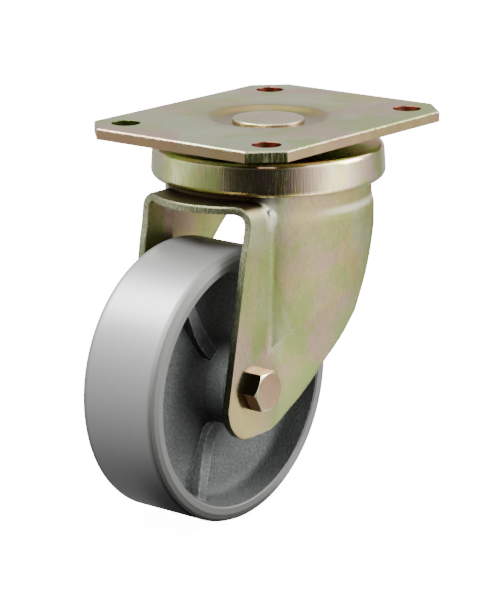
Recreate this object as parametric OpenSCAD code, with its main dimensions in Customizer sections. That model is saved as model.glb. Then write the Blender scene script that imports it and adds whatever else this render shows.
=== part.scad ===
// Swivel castor with a pressed fork and a cast-iron wheel.
// Millimetres. The origin is the centre of the top plate's upper face, on the swivel axis.
// +Z is up, the wheel trails to -X, and the axle lies along Y with the bolt head on the -Y side.

/* [Top plate] */
// Length of the plate along X
plate_l = 140; // [130:1:150]
// Width of the plate along Y
plate_w = 110; // [106:1:120]
// Sheet thickness of the plate
plate_t = 5; // [4.5:0.5:6]
// Leg of the clipped corner
corner_cut = 13; // [9:1:14]
// Hole distance along X
hole_pitch_x = 105; // [100:1:110]
// Hole distance along Y
hole_pitch_y = 80; // [75:1:85]
// Diameter of the fixing holes
hole_d = 13; // [9:0.5:14]
// Depth of the dished centre
dish_depth = 2.5; // [2:0.1:3]
// Radius of the dish floor
dish_floor_r = 22.5; // [20:0.5:23]
// Radius at which the dish meets the flat plate
dish_rim_r = 29; // [27:0.5:32]
// Broken edge along the plate's outline
edge_break = 0.5; // [0.3:0.1:0.8]

/* [King pin] */
// Diameter of the pin head
pin_head_d = 33; // [28:0.5:36]
// Height of the pin head above the dish floor
pin_head_h = 1.7; // [1.2:0.1:1.8]
// Diameter of the pin's shoulder
pin_shoulder_d = 16; // [14:0.5:17]
// Diameter of the pin's lower end
pin_d = 12; // [10:0.5:12]
// Distance across the flats of the king nut
king_nut_af = 19; // [18:0.5:22]
// Height of the king nut
king_nut_h = 10; // [8:0.5:11]
// Thickness of the washer above the king nut
king_washer_t = 2.5; // [2:0.5:3]

/* [Race cup and balls] */
// Largest radius of the cup's skirt
cup_r = 53.6; // [52.8:0.2:55]
// Sheet thickness of the skirt
cup_t = 3; // [2.5:0.1:3.2]
// Lowest point of the cup below the plate's upper face
cup_bottom = 27; // [26:0.25:27.5]
// Width of the lip turned in at the bottom of the skirt
cup_lip = 4.6; // [4.2:0.1:5]
// Distance from the skirt's outside to the pitch circle of the upper balls
upper_pitch_in = 14.6; // [14:0.1:15]
// Diameter of the upper balls
upper_ball_d = 8; // [7:0.5:8]
// Diameter of the lower balls
lower_ball_d = 6; // [5:0.5:6]
// Pitch radius of the lower balls
lower_pitch_r = 22; // [20:0.25:23]
// Gap between a ball and its groove
ball_gap = 0.05; // [0.02:0.01:0.08]

/* [Fork] */
// Sheet thickness of the fork
sheet = 3.5; // [3.2:0.1:3.8]
// Gap between the cup's lip and the neck that turns in it
neck_gap = 1.8; // [1.2:0.1:2.2]
// Step from the neck out to the round rear part of the legs
bulge_step = 1.2; // [0.8:0.1:1.6]
// Depth of the crown's flat top below the plate's upper face
crown_z = 29.5; // [29:0.1:30.5]
// Inner gap between the legs under the crown
leg_gap = 55; // [54:0.5:56]
// Distance that each leg closes in between the crown and the axle
leg_lean = 1.5; // [1:0.1:1.8]
// Outer bend radius between crown and leg
bend_r = 8.25; // [7.5:0.25:9]
// Forward reach of the crown at its middle
crown_reach = 62.2; // [60:0.2:64]
// Forward reach of the legs at their top
leg_front = 52; // [51:0.25:53]
// Radius of the crease between the flat front and the round rear part
crease_r = 4; // [3:0.25:5]
// Radius of the flat pad pressed round the axle hole
pad_r = 12; // [11:0.5:13]
// Inner gap between the two pads
pad_gap = 51.4; // [51:0.1:51.8]
// Steepest rise of the pressed wall behind the pad for each millimetre outwards
wall_rate = 0.65; // [0.55:0.05:0.75]
// Rise of the same wall where it runs out into the round rear part
wall_end = 0.28; // [0.24:0.02:0.34]
// Distance over which that wall curves up from the flat pad
wall_knee = 8; // [7:0.5:10]

/* [Axle] */
// Offset of the axle from the swivel axis
offset_x = 45; // [43:0.5:46]
// Depth of the axle below the plate's upper face
axle_z = 113.5; // [112:0.5:115]
// Diameter of the axle bolt
bolt_d = 10; // [8:0.5:10]
// Distance across the flats of the bolt head and nut
bolt_af = 17; // [15:0.5:17]
// Height of the bolt head
bolt_head_h = 6.4; // [5:0.2:7]
// Height of the axle nut
nut_h = 8.4; // [7:0.2:9]
// Thickness of the washer under the axle nut
nut_washer_t = 2; // [1.5:0.25:2.5]
// Outer diameter of the axle sleeve
sleeve_d = 15; // [14:0.25:15.5]

/* [Wheel] */
// Wheel diameter
wheel_d = 125; // [120:1:126]
// Wheel width over the rim
wheel_w = 42; // [40:0.5:44]
// Inner radius of the rim at its side face
rim_in_r = 55.6; // [54.5:0.1:56.5]
// Thickness of the web
web_t = 16; // [14:0.5:18]
// Length of the hub
hub_l = 46; // [45:0.5:46]
// Outer diameter of the hub at its end
hub_d = 34; // [32:0.5:36]
// Number of ribs on each side of the web
rib_n = 3; // [3:1:5]
// Width of a rib at its crest
rib_w = 5; // [4:0.5:6]

/* [Hub bearing] */
// Diameter of the rollers
roller_d = 4; // [3.5:0.1:4]
// Number of rollers
roller_n = 11; // [8:1:11]
// Length of the rollers
roller_l = 38; // [34:0.5:40]
// Gap between the rollers and each raceway
roller_gap = 0.02; // [0.02:0.01:0.03]
// Thickness of the roller cage
cage_t = 1.8; // [1.4:0.1:2]
// Gap left between faces that turn against each other
side_gap = 0.3; // [0.3:0.05:0.4]

/* [Hidden] */
$fn = 96;
thread_gap = 0.02;
hole_clear = 0.25;

// Depths below the plate's upper face, all taken positive downwards
dish_z = dish_depth + plate_t;
cup_top_edge_z = dish_z + 3.7;
upper_ball_z = 16;
cup_race_z = upper_ball_z - 2.8 * upper_ball_d / 8;
fork_top_z = upper_ball_z + 2.8 * upper_ball_d / 8;
fork_head_z = fork_top_z + sheet;
lower_ball_z = fork_head_z + 1.8 * lower_ball_d / 6;
lower_race_z = lower_ball_z + 1.8 * lower_ball_d / 6;
lower_race_t = 4;
washer_z = lower_race_z + lower_race_t;
king_nut_z = washer_z + king_washer_t;
pin_end_z = king_nut_z + king_nut_h + 3;
crown_under_z = crown_z + sheet;
lean_z = 40;

// Ball rings, each full but for the room of two balls
upper_pitch_r = cup_r - upper_pitch_in;
upper_ball_n = floor(180 / asin(upper_ball_d / 2 / upper_pitch_r)) - 2;
lower_ball_n = floor(180 / asin(lower_ball_d / 2 / lower_pitch_r)) - 2;

// Half widths and radii that several pieces share
neck_r = cup_r - cup_lip - neck_gap;
bulge_r = neck_r + bulge_step;
side_limit = cup_r + 7;
half_gap = leg_gap / 2;
leg_out = half_gap + sheet;
bend_c = leg_out - bend_r;
bend_cz = crown_z + bend_r;
pad_in = pad_gap / 2;
pad_out = pad_in + sheet;
neck_in = neck_r - sheet;
bulge_in = bulge_r - sheet;
ball_groove_u = upper_ball_d / 2 + ball_gap;
ball_groove_l = lower_ball_d / 2 + ball_gap;
roller_pitch = sleeve_d / 2 + roller_gap + roller_d / 2;
hub_bore_r = roller_pitch + roller_d / 2 + roller_gap;
hub_washer_t = pad_in - side_gap - hub_l / 2;
wheel_r = wheel_d / 2;
foot_z = axle_z + 21.4;

// Points of an arc round (cx, cy) from angle a to angle b
function arc(cx, cy, r, a, b, n) = [for (i = [0:n]) [cx + r * cos(a + (b - a) * i / n), cy + r * sin(a + (b - a) * i / n)]];

// One point of a smooth curve through four neighbours
function smooth_at(p, q, r, s, t) = 0.5 * (2 * q + (r - p) * t + (2 * p - 5 * q + 4 * r - s) * t * t
    + (3 * q - p - 3 * r + s) * t * t * t);

// Smooth curve through a list of points, n steps between neighbours
function smooth(v, n) = concat([for (i = [0:len(v) - 2]) for (j = [0:n - 1])
    smooth_at(v[max(i - 1, 0)], v[i], v[i + 1], v[min(i + 2, len(v) - 1)], j / n)], [v[len(v) - 1]]);

// A 2-D outline in (X, depth) made into a prism across Y
module across_y(half) {
    rotate([90, 0, 0])
        translate([0, 0, -half])
            linear_extrude(2 * half)
                children();
}

// A ring of revolution about the swivel axis, from a profile in (radius, z)
module turned() {
    rotate_extrude($fn = 180)
        children();
}

// A ring of revolution about the axle, from a profile in (radius, y)
module on_axle() {
    translate([-offset_x, 0, -axle_z])
        rotate([-90, 0, 0])
            rotate_extrude($fn = 180)
                children();
}

// A straight piece along the axle from y0 to y1
module along_axle(y0, y1) {
    translate([-offset_x, y0, -axle_z])
        rotate([-90, 0, 0])
            linear_extrude(y1 - y0)
                children();
}

module plate_outline() {
    a = plate_l / 2;
    b = plate_w / 2;
    c = corner_cut;
    polygon([[-a + c, -b], [a - c, -b], [a, -b + c], [a, b - c], [a - c, b], [-a + c, b], [-a, b - c], [-a, -b + c]]);
}

// The S-shaped wall of the dish between floor and plate, lowered by dz
function dish_wall(dz) = [for (i = [0:8]) let (t = i / 8)
    [dish_floor_r + (dish_rim_r - dish_floor_r) * t, -dish_depth * (0.5 + 0.5 * cos(180 * t)) - dz]];

function reversed(v) = [for (i = [len(v) - 1:-1:0]) v[i]];

module top_plate() {
    color("#b5a878")
    difference() {
        union() {
            difference() {
                translate([0, 0, -plate_t])
                    linear_extrude(plate_t)
                        plate_outline();
                translate([0, 0, -plate_t - 1])
                    cylinder(r = dish_rim_r, h = plate_t + 2, $fn = 180);
                for (s = [0, 90, 180, 270])
                    rotate([0, 0, s])
                        translate([s % 180 == 0 ? plate_l / 2 : plate_w / 2, 0, 0])
                            rotate([0, 45, 0])
                                cube([edge_break * sqrt(2), 2 * plate_l, edge_break * sqrt(2)], center = true);
                for (s = [45, 135, 225, 315])
                    rotate([0, 0, s])
                        translate([(plate_l / 2 + plate_w / 2 - corner_cut) / sqrt(2), 0, 0])
                            rotate([0, 45, 0])
                                cube([edge_break * sqrt(2), 2 * plate_l, edge_break * sqrt(2)], center = true);
            }
            turned()
                polygon(concat([[pin_shoulder_d / 2, -dish_depth]], dish_wall(0), reversed(dish_wall(plate_t)), [[pin_shoulder_d / 2, -dish_z]]));
        }
        for (x = [-1, 1])
            for (y = [-1, 1])
                translate([x * hole_pitch_x / 2, y * hole_pitch_y / 2, -plate_t - 1])
                    cylinder(d = hole_d, h = plate_t + 2);
    }
}

module king_pin() {
    r = pin_head_d / 2;
    top = -dish_depth + pin_head_h;
    color("#b0a06c")
    turned()
        polygon([[0, top], [r - 0.5, top], [r, top - 0.5], [r, -dish_depth], [pin_shoulder_d / 2, -dish_depth],
            [pin_shoulder_d / 2, -lower_race_z], [pin_d / 2, -lower_race_z], [pin_d / 2, -pin_end_z + 1],
            [pin_d / 2 - 1, -pin_end_z], [0, -pin_end_z]]);
}

module race_cup() {
    top_r = cup_r - 3.2;
    in_top = cup_r - cup_t - 0.4;
    color("#b7ad7c")
    turned()
        difference() {
            polygon(concat(
                [[pin_shoulder_d / 2, -dish_z], [dish_floor_r + 2, -dish_z]],
                arc(cup_r - 3.6, -cup_top_edge_z - 3, 3, 85, 5, 6),
                [[cup_r, -cup_bottom + 3.7]],
                arc(cup_r - 3.7, -cup_bottom + 3.7, 3.7, 0, -90, 6),
                [[cup_r - cup_lip, -cup_bottom], [cup_r - cup_lip, -cup_bottom + cup_t - 0.2]],
                [[cup_r - 3.7, -cup_bottom + cup_t], [cup_r - cup_t, -cup_bottom + 3.7]],
                [[in_top, -cup_race_z - 3], [in_top - 1.2, -cup_race_z - 1.4], [upper_pitch_r + 6.5, -cup_race_z],
                [upper_pitch_r - 6.5, -cup_race_z], [upper_pitch_r - 9, -dish_z - 3], [pin_shoulder_d / 2, -dish_z - 3]]));
            translate([upper_pitch_r, -upper_ball_z])
                circle(r = ball_groove_u);
        }
}

module lower_race() {
    color("#8f9094")
    turned()
        difference() {
            polygon([[pin_d / 2 + thread_gap, -lower_race_z], [lower_pitch_r + 5.5, -lower_race_z], [lower_pitch_r + 6, -lower_race_z - 0.5],
                [lower_pitch_r + 6, -washer_z + 0.5], [lower_pitch_r + 5.5, -washer_z], [pin_d / 2 + thread_gap, -washer_z]]);
            translate([lower_pitch_r, -lower_ball_z])
                circle(r = ball_groove_l);
        }
}

module king_washer() {
    color("#a8a077")
    translate([0, 0, -king_nut_z])
        difference() {
            cylinder(d = 2 * pin_d, h = king_washer_t);
            translate([0, 0, -1])
                cylinder(r = pin_d / 2 + hole_clear, h = king_washer_t + 2);
        }
}

// A hexagon nut or head with both or one of its faces turned to a shallow cone
module hexagon(af, h, both) {
    r = af / sqrt(3);
    e = r - af / 2;
    intersection() {
        linear_extrude(h)
            circle(r = r, $fn = 6);
        rotate_extrude($fn = 96)
            polygon([[0, 0], [both ? af / 2 - 0.2 : r + 1, 0], [r + 1, both ? (e + 1.2) * 0.577 : 0],
                [r + 1, h - (e + 1.2) * 0.577], [af / 2 - 0.2, h], [0, h]]);
    }
}

module king_nut() {
    color("#a39a6e")
    translate([0, 0, -king_nut_z - king_nut_h])
        difference() {
            hexagon(king_nut_af, king_nut_h, true);
            translate([0, 0, -1])
                cylinder(r = pin_d / 2 + thread_gap, h = king_nut_h + 2);
        }
}

module ball_ring(n, d, r, z) {
    for (i = [0:n - 1])
        rotate([0, 0, 360 * i / n])
            translate([r, 0, -z])
                sphere(d = d, $fn = 24);
}

module upper_balls() {
    color("#c9ccd0")
        ball_ring(upper_ball_n, upper_ball_d, upper_pitch_r, upper_ball_z);
}

module lower_balls() {
    color("#c9ccd0")
        ball_ring(lower_ball_n, lower_ball_d, lower_pitch_r, lower_ball_z);
}

// Front edge of the legs, from the crown down to the foot, in (X, z)
front_edge = [[-leg_front, -lean_z + 2], [-leg_front - 1.2, -45], [-leg_front - 3.1, -53], [-57.5, -68], [-60.6, -87],
    [-63.2, -102], [-65.6, -axle_z - 2.5], [-66.2, -axle_z - 6.3]];

// Round end of the foot
foot_edge = [[-66.2, -axle_z - 6.3], [-64.5, -axle_z - 12.7], [-60.8, -axle_z - 17.5], [-56.7, -axle_z - 20.3],
    [-52, -foot_z], [-45, -foot_z], [-36.3, -foot_z + 0.2]];

// Rear edge of the legs, from the foot up to the arch at the back
rear_edge = [[-36.3, -foot_z + 0.2], [-29.6, -axle_z - 18.2], [-22.3, -axle_z - 9.7], [-16.3, -axle_z - 1], [-11.2, -105.6],
    [-7.1, -99], [-2.8, -92.2], [1.2, -84.5], [6.2, -76], [10.8, -69.3], [14.8, -63], [19.8, -55.5], [24.5, -50], [31, -46.5], [40, -45]];

module leg_outline() {
    polygon(concat(smooth(front_edge, 3), smooth(foot_edge, 3), smooth(rear_edge, 3),
        [[side_limit, -44.5], [side_limit, -lean_z + 2]]));
}

// Outline of the crown from above, with its front edge bowed forwards
module crown_outline() {
    w = 26;
    polygon(concat([for (i = [-10:10]) let (y = w * i / 10) [-crown_reach + 9.7 * pow(y / w, 2), y]],
        [[-leg_front - 0.1, w + 1.2], [-leg_front, w + 2.5], [-leg_front, side_limit], [side_limit, side_limit],
        [side_limit, -side_limit], [-leg_front, -side_limit], [-leg_front, -w - 2.5], [-leg_front - 0.1, -w - 1.2]]));
}

// Everything inside the cut edges of the pressing
module trimmed() {
    translate([0, 0, -lean_z + 1])
        linear_extrude(30)
            crown_outline();
    across_y(side_limit)
        leg_outline();
}

// Section of the channel that crown and legs make, in (Y, z): one half width, one top depth, one corner radius
module channel_section(half, top, r) {
    low = 140;
    in = half - leg_lean * (low - lean_z) / (axle_z - lean_z);
    polygon([[-half, -top - r], [half, -top - r], [half, -lean_z], [in, -low], [-in, -low], [-half, -lean_z]]);
    translate([-half + r, -top - 2 * r])
        square([2 * (half - r), 2 * r]);
    for (s = [-1, 1])
        translate([s * (half - r), -top - r])
            circle(r = r);
}

module along_x(x0, x1) {
    translate([x0, 0, 0])
        rotate([90, 0, 90])
            linear_extrude(x1 - x0)
                children();
}

// Rounded shoulder from the neck at radius r out to the round rear part
function shoulder(r) = [for (i = [0:8]) [r + bulge_step * (0.5 - 0.5 * cos(22.5 * i)), -crown_under_z - i]];

// Outer face of the head, neck and round rear part, in (radius, z)
fork_outer = concat([[0, -fork_top_z]], arc(neck_r - 4.5, -fork_top_z - 4.5, 4.5, 90, 0, 6),
    shoulder(neck_r), [[bulge_r, -145], [0, -145]]);

// Inner face of the same shell
fork_inner = concat([[0, -fork_head_z]], arc(neck_in - 0.8, -fork_head_z - 0.8, 0.8, 90, 0, 3),
    shoulder(neck_in), [[bulge_in, -150], [0, -150]]);

// Space between the legs and under the crown
module between_legs() {
    along_x(-70, -20)
        channel_section(half_gap, crown_under_z, bend_r - sheet);
}

// Dished pad round the axle hole on the -Y side: flat middle, then a wall that curves out to the round part
wall_mid = 18;
wall_far = 34;
wall_steps = concat([for (i = [0:3]) wall_knee * i / 3], [for (i = [0:4]) wall_mid + (wall_far - wall_mid) * i / 4], [60]);

// Slope of the wall at distance u outside the flat, and its rise up to there
function wall_slope(u) = u < wall_mid ? wall_rate * min(u / wall_knee, 1)
    : max(wall_end, wall_rate - (wall_rate - wall_end) * (u - wall_mid) / (wall_far - wall_mid));
function wall_rise(u) = u < wall_knee ? wall_rate * u * u / (2 * wall_knee)
    : wall_rate * (u - wall_knee / 2) - (wall_rate - wall_end) * (u < wall_mid ? 0
    : u < wall_far ? pow(u - wall_mid, 2) / (2 * (wall_far - wall_mid)) : u - (wall_far + wall_mid) / 2);

wall_out = [for (u = wall_steps) [pad_r + u, -pad_out - wall_rise(u)]];
wall_in = [for (u = wall_steps) let (k = wall_slope(u), c = sheet / sqrt(1 + k * k)) [pad_r + u + k * c, -pad_out - wall_rise(u) + c]];
wall_last = len(wall_steps) - 1;

module pad_flat() {
    polygon([[0, -pad_in], [pad_r + 1.4, -pad_in], [pad_r + 0.6, -pad_in - 1], [pad_r + 0.6, -pad_out + 0.2], [0, -pad_out + 0.2]]);
}

module pad_block() {
    polygon(concat([[0, -pad_in]], wall_in, [[0, wall_in[wall_last][1]]]));
}

module pad_void() {
    polygon(concat([[0, -pad_out]], wall_out, [[0, wall_out[wall_last][1]]]));
}

// The same profile carried straight down behind the axle, so that the foot is flat
module below_axle() {
    translate([-offset_x, 0, -150])
        linear_extrude(150 - axle_z - 2.5)
            children();
}

// Rounded crease between the flat front of a leg and its round rear part, on the +Y side
function crease_at(y) = [-sqrt(pow(bulge_r + crease_r - 0.05, 2) - pow(y + crease_r - 0.05, 2)), y + crease_r - 0.05];

module crease() {
    top = crease_at(leg_out);
    low = crease_at(leg_out - leg_lean);
    d = [low[0] - top[0], low[1] - top[1], lean_z - axle_z];
    u = -top / norm(top);
    intersection() {
        translate([top[0], top[1], -lean_z])
            multmatrix([[1, 0, d[0] / d[2], 0], [0, 1, d[1] / d[2], 0], [0, 0, 1, 0], [0, 0, 0, 1]])
                translate([0, 0, d[2]])
                    difference() {
                        linear_extrude(-d[2] + 9)
                            polygon([[0, -1], [0, -crease_r - 0.6], [2.3, -crease_r - 1], (crease_r + 0.6) * u, u]);
                        translate([0, 0, -1])
                            cylinder(r = crease_r, h = -d[2] + 11);
                    }
        along_x(-70, -20)
            channel_section(leg_out + 2, crown_z, bend_r + 2);
    }
}

module both_legs() {
    children();
    mirror([0, 1, 0])
        children();
}

// Sheet of the head, neck, crown and legs before the pads are pressed
module shell() {
    difference() {
        union() {
            turned()
                polygon(fork_outer);
            along_x(-70, -33)
                channel_section(leg_out, crown_z, bend_r);
        }
        turned()
            polygon(fork_inner);
        between_legs();
    }
}

module fork() {
    color("#b3a673")
    difference() {
        intersection() {
            union() {
                shell();
                both_legs()
                    crease();
                both_legs()
                    on_axle()
                        pad_flat();
                intersection() {
                    both_legs() {
                        on_axle()
                            pad_block();
                        below_axle()
                            pad_block();
                    }
                    translate([0, 0, -150])
                        cylinder(r = bulge_r - 1, h = 110, $fn = 180);
                }
            }
            trimmed();
        }
        both_legs() {
            on_axle()
                pad_void();
            below_axle()
                pad_void();
        }
        translate([0, 0, -fork_head_z - 1])
            cylinder(r = pin_shoulder_d / 2 + 5, h = sheet + 2);
        turned()
            translate([upper_pitch_r, -upper_ball_z])
                circle(r = ball_groove_u);
        turned()
            translate([lower_pitch_r, -lower_ball_z])
                circle(r = ball_groove_l);
        along_axle(-pad_out - 20, pad_out + 20)
            circle(r = bolt_d / 2 + hole_clear);
    }
}

module axle_bolt() {
    end = pad_out + nut_washer_t + nut_h + 2.5;
    color("#b98f6a")
    union() {
        translate([-offset_x, -pad_out, -axle_z])
            rotate([90, 0, 0])
                hexagon(bolt_af, bolt_head_h, false);
        on_axle()
            polygon([[0, -pad_out - 1], [bolt_d / 2, -pad_out - 1], [bolt_d / 2, end - 1], [bolt_d / 2 - 1, end], [0, end]]);
    }
}

module nut_washer() {
    color("#b3a673")
    along_axle(pad_out, pad_out + nut_washer_t)
        difference() {
            circle(d = 2 * bolt_d);
            circle(r = bolt_d / 2 + hole_clear);
        }
}

module axle_nut() {
    color("#b99a6a")
    difference() {
        translate([-offset_x, pad_out + nut_washer_t, -axle_z])
            rotate([-90, 0, 0])
                hexagon(bolt_af, nut_h, true);
        along_axle(pad_out, pad_out + 20)
            circle(r = bolt_d / 2 + thread_gap);
    }
}

module axle_sleeve() {
    color("#9a9ca0")
    along_axle(-pad_in, pad_in)
        difference() {
            circle(d = sleeve_d);
            circle(r = bolt_d / 2 + hole_clear);
        }
}

module hub_washer(y0) {
    color("#a8a077")
    along_axle(y0, y0 + hub_washer_t)
        difference() {
            circle(d = hub_d - 8);
            circle(r = sleeve_d / 2 + 0.1);
        }
}

module hub_washer_near() {
    hub_washer(-pad_in);
}

module hub_washer_far() {
    hub_washer(pad_in - hub_washer_t);
}

// Half section of the wheel in (radius, y), from the middle plane outwards
wheel_half = concat([[hub_bore_r, 0], [hub_bore_r, hub_l / 2 - 0.8], [hub_bore_r + 0.8, hub_l / 2], [hub_d / 2 - 1, hub_l / 2],
    [hub_d / 2, hub_l / 2 - 1], [hub_d / 2 + 1.6, web_t / 2 + 6]],
    arc(hub_d / 2 + 7.1, web_t / 2 + 5.5, 5.5, 185, 270, 5),
    [[rim_in_r - 7.6, web_t / 2]],
    arc(rim_in_r - 7, web_t / 2 + 4.5, 4.5, 280, 342, 4),
    [[rim_in_r - 0.3, wheel_w / 2 - 0.7], [rim_in_r + 0.3, wheel_w / 2], [wheel_r - 3.8, wheel_w / 2]],
    [[wheel_r - 1.6, wheel_w / 2 - 0.7], [wheel_r - 0.45, wheel_w / 2 - 1.6], [wheel_r, wheel_w / 2 - 2.8], [wheel_r, 0]]);

// One rib on one side of the web, along +X from the hub to the rim
module rib() {
    b = web_t / 2;
    r1 = rim_in_r - 1.8;
    intersection() {
        linear_extrude(40, center = true)
            polygon([[hub_bore_r + 2, b - 3], [r1 + 3.5, b - 3], [r1 + 3.5, b + 8], [r1, b + 7], [44, b + 5.2],
                [34, b + 3.4], [26, b + 3], [hub_d / 2 + 1, b + 5], [hub_bore_r + 2, b + 5]]);
        rotate([90, 0, 90])
            linear_extrude(70)
                polygon([[b - 4, -rib_w * 0.9], [b + 9, -rib_w * 0.45], [b + 9, rib_w * 0.45], [b - 4, rib_w * 0.9]]);
    }
}

module wheel() {
    color("#8b8c8c")
    union() {
        on_axle()
            polygon(concat(wheel_half, [for (i = [len(wheel_half) - 2:-1:1]) [wheel_half[i][0], -wheel_half[i][1]]]));
        for (i = [0:rib_n - 1])
            for (s = [-1, 1])
                translate([-offset_x, 0, -axle_z])
                    rotate([0, -125 + 360 * i / rib_n, 0])
                        mirror([0, s < 0 ? 1 : 0, 0])
                            rib();
    }
}

module roller_spots() {
    for (i = [0:roller_n - 1])
        rotate(360 * i / roller_n)
            translate([roller_pitch, 0])
                circle(d = roller_d + $pocket);
}

module roller_cage() {
    l = hub_l / 2;
    color("#c2a25a")
    difference() {
        along_axle(-l, l)
            difference() {
                circle(r = roller_pitch + cage_t / 2);
                circle(r = roller_pitch - cage_t / 2);
            }
        along_axle(-roller_l / 2 - 0.1, roller_l / 2 + 0.1)
            roller_spots($pocket = 0.1);
    }
}

module rollers() {
    color("#c9ccd0")
    along_axle(-roller_l / 2, roller_l / 2)
        roller_spots($pocket = 0);
}

top_plate();
king_pin();
race_cup();
lower_race();
king_washer();
king_nut();
upper_balls();
lower_balls();
fork();
axle_bolt();
nut_washer();
axle_nut();
axle_sleeve();
hub_washer_near();
hub_washer_far();
wheel();
roller_cage();
rollers();
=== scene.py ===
# %% [markdown]
# # A swivel castor with an iron wheel
# This notebook dresses the CAD model of a castor: a zinc-plated top plate, a swivel bearing, a
# pressed fork and a cast-iron wheel. The CAD solids already have their true sizes, so the cells
# give them finishes. The first cell loads them and keeps their box, which the dressing may not leave.

# %% Load the frame
import math

import bmesh
import bpy
from mathutils import Euler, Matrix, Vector


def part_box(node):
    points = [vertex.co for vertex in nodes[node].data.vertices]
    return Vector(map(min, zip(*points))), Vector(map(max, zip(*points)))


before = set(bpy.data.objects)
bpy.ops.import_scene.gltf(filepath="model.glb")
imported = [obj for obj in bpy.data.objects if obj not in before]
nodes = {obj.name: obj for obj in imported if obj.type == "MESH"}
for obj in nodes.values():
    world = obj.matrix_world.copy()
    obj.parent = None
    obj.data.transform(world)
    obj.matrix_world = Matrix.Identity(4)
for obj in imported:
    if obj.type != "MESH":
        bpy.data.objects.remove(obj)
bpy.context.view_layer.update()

# %% [markdown]
# ## Where the axle is
# Several patterns are centred on the wheel's axle, so its place is read from the wheel's own box
# rather than typed in. The wheel is round, so the middle of its box is its axis.

# %% The axle
wheel_lo, wheel_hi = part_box("wheel")
AXLE = (wheel_lo + wheel_hi) / 2
FLOOR_Z = wheel_lo.z
print("axle at", [round(v, 4) for v in AXLE], "floor at", round(FLOOR_Z, 4))

# %% [markdown]
# ## The camera
# A long lens stands well back, as for a catalogue picture, so the plate's edges stay nearly
# parallel. The camera is placed by two angles and a distance round a point near the middle of
# the castor, which is easier to adjust than bare coordinates.

# %% Camera
AIM = Vector((-0.008194, 0.010264, -0.086593))
DISTANCE = 1.207442
AZIMUTH, ELEVATION, ROLL = (math.radians(angle) for angle in (-51.38, 14.939, -0.208))
FOCAL_PIXELS, PICTURE_PIXELS, SENSOR_MM = 2609.802, 600, 36

level = math.cos(ELEVATION)
back = Vector((math.sin(AZIMUTH) * level, -math.cos(AZIMUTH) * level, math.sin(ELEVATION)))
lens = bpy.data.cameras.new("camera")
lens.lens = FOCAL_PIXELS * SENSOR_MM / PICTURE_PIXELS
lens.sensor_width = SENSOR_MM
lens.clip_end = 50
camera = bpy.data.objects.new("camera", lens)
bpy.context.scene.collection.objects.link(camera)
aimed = (-back).to_track_quat("-Z", "Y").to_matrix().to_4x4()
camera.matrix_world = aimed @ Euler((0, 0, ROLL)).to_matrix().to_4x4()
camera.location = AIM + back * DISTANCE
bpy.context.scene.camera = camera
print("camera at", [round(v, 3) for v in camera.location], "lens", round(lens.lens, 1), "mm")

# %% [markdown]
# ## Helpers for nodes
# A material is a small graph. These helpers add a node, set its plain values and join sockets,
# so that each finish below reads as a short list of steps.

# %% Node and group helpers
def add(tree, kind, inputs=None, **settings):
    """A new node with some settings and inputs given. An input is a value or a socket to join."""
    node = tree.nodes.new(kind)
    for name, value in settings.items():
        setattr(node, name, value)
    for key, value in (inputs or {}).items():
        if isinstance(value, bpy.types.NodeSocket):
            tree.links.new(value, node.inputs[key])
        else:
            node.inputs[key].default_value = value
    return node


def group(name, inputs, outputs):
    """An empty node group with its sockets, and its input and output nodes."""
    tree = bpy.data.node_groups.new(name, "ShaderNodeTree")
    for label, kind, value in inputs:
        socket = tree.interface.new_socket(label, in_out="INPUT", socket_type=kind)
        if value is not None:
            socket.default_value = value
    for label, kind in outputs:
        tree.interface.new_socket(label, in_out="OUTPUT", socket_type=kind)
    return tree, tree.nodes.new("NodeGroupInput").outputs, tree.nodes.new("NodeGroupOutput").inputs


def place(tree, subgroup, **values):
    """The outputs of a node group used inside a tree, with its inputs given by label."""
    node = tree.nodes.new("ShaderNodeGroup")
    node.node_tree = subgroup
    for label, value in values.items():
        if isinstance(value, bpy.types.NodeSocket):
            tree.links.new(value, node.inputs[label])
        else:
            node.inputs[label].default_value = value
    return node.outputs


print("node helpers ready")

# %% [markdown]
# ## Helpers for numbers and colours
# Masks are numbers between 0 and 1. Most are made by carrying a place or an angle from one range
# to another, and a mark that needs two conditions is the product of two masks.

# %% Number helpers
def calc(tree, operation, a, b=0.0, c=0.0):
    """One step of arithmetic on numbers or sockets."""
    return add(tree, "ShaderNodeMath", {0: a, 1: b, 2: c}, operation=operation).outputs[0]


def times(tree, first, *others):
    """A product of numbers or sockets."""
    for other in others:
        first = calc(tree, "MULTIPLY", first, other)
    return first


def size(tree, value):
    """A number without its sign."""
    return calc(tree, "ABSOLUTE", value)


def between(tree, value, low, high, first=0.0, last=1.0):
    """A value carried from one range to another and held at its ends."""
    span = {0: value, 1: low, 2: high, 3: first, 4: last}
    return add(tree, "ShaderNodeMapRange", span).outputs[0]


def eased(tree, value, low, high):
    """A value that eases from 0 to 1 over a range."""
    span = {0: value, 1: low, 2: high}
    return add(tree, "ShaderNodeMapRange", span, interpolation_type="SMOOTHSTEP").outputs[0]


def either(tree, factor, a, b):
    """A number that goes from a to b with a factor."""
    return add(tree, "ShaderNodeMix", {0: factor, 2: a, 3: b}, data_type="FLOAT").outputs[0]


def xyz(tree, vector):
    """The three parts of a vector, by name."""
    return add(tree, "ShaderNodeSeparateXYZ", {0: vector}).outputs


def point(tree, x, y, z=0.0):
    """A vector made of three numbers or sockets."""
    return add(tree, "ShaderNodeCombineXYZ", {"X": x, "Y": y, "Z": z}).outputs[0]


def vector_math(tree, operation, a, b=None):
    """The node for one step of arithmetic on vectors."""
    return add(tree, "ShaderNodeVectorMath", {0: a} if b is None else {0: a, 1: b}, operation=operation)


print("number helpers ready")

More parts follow.
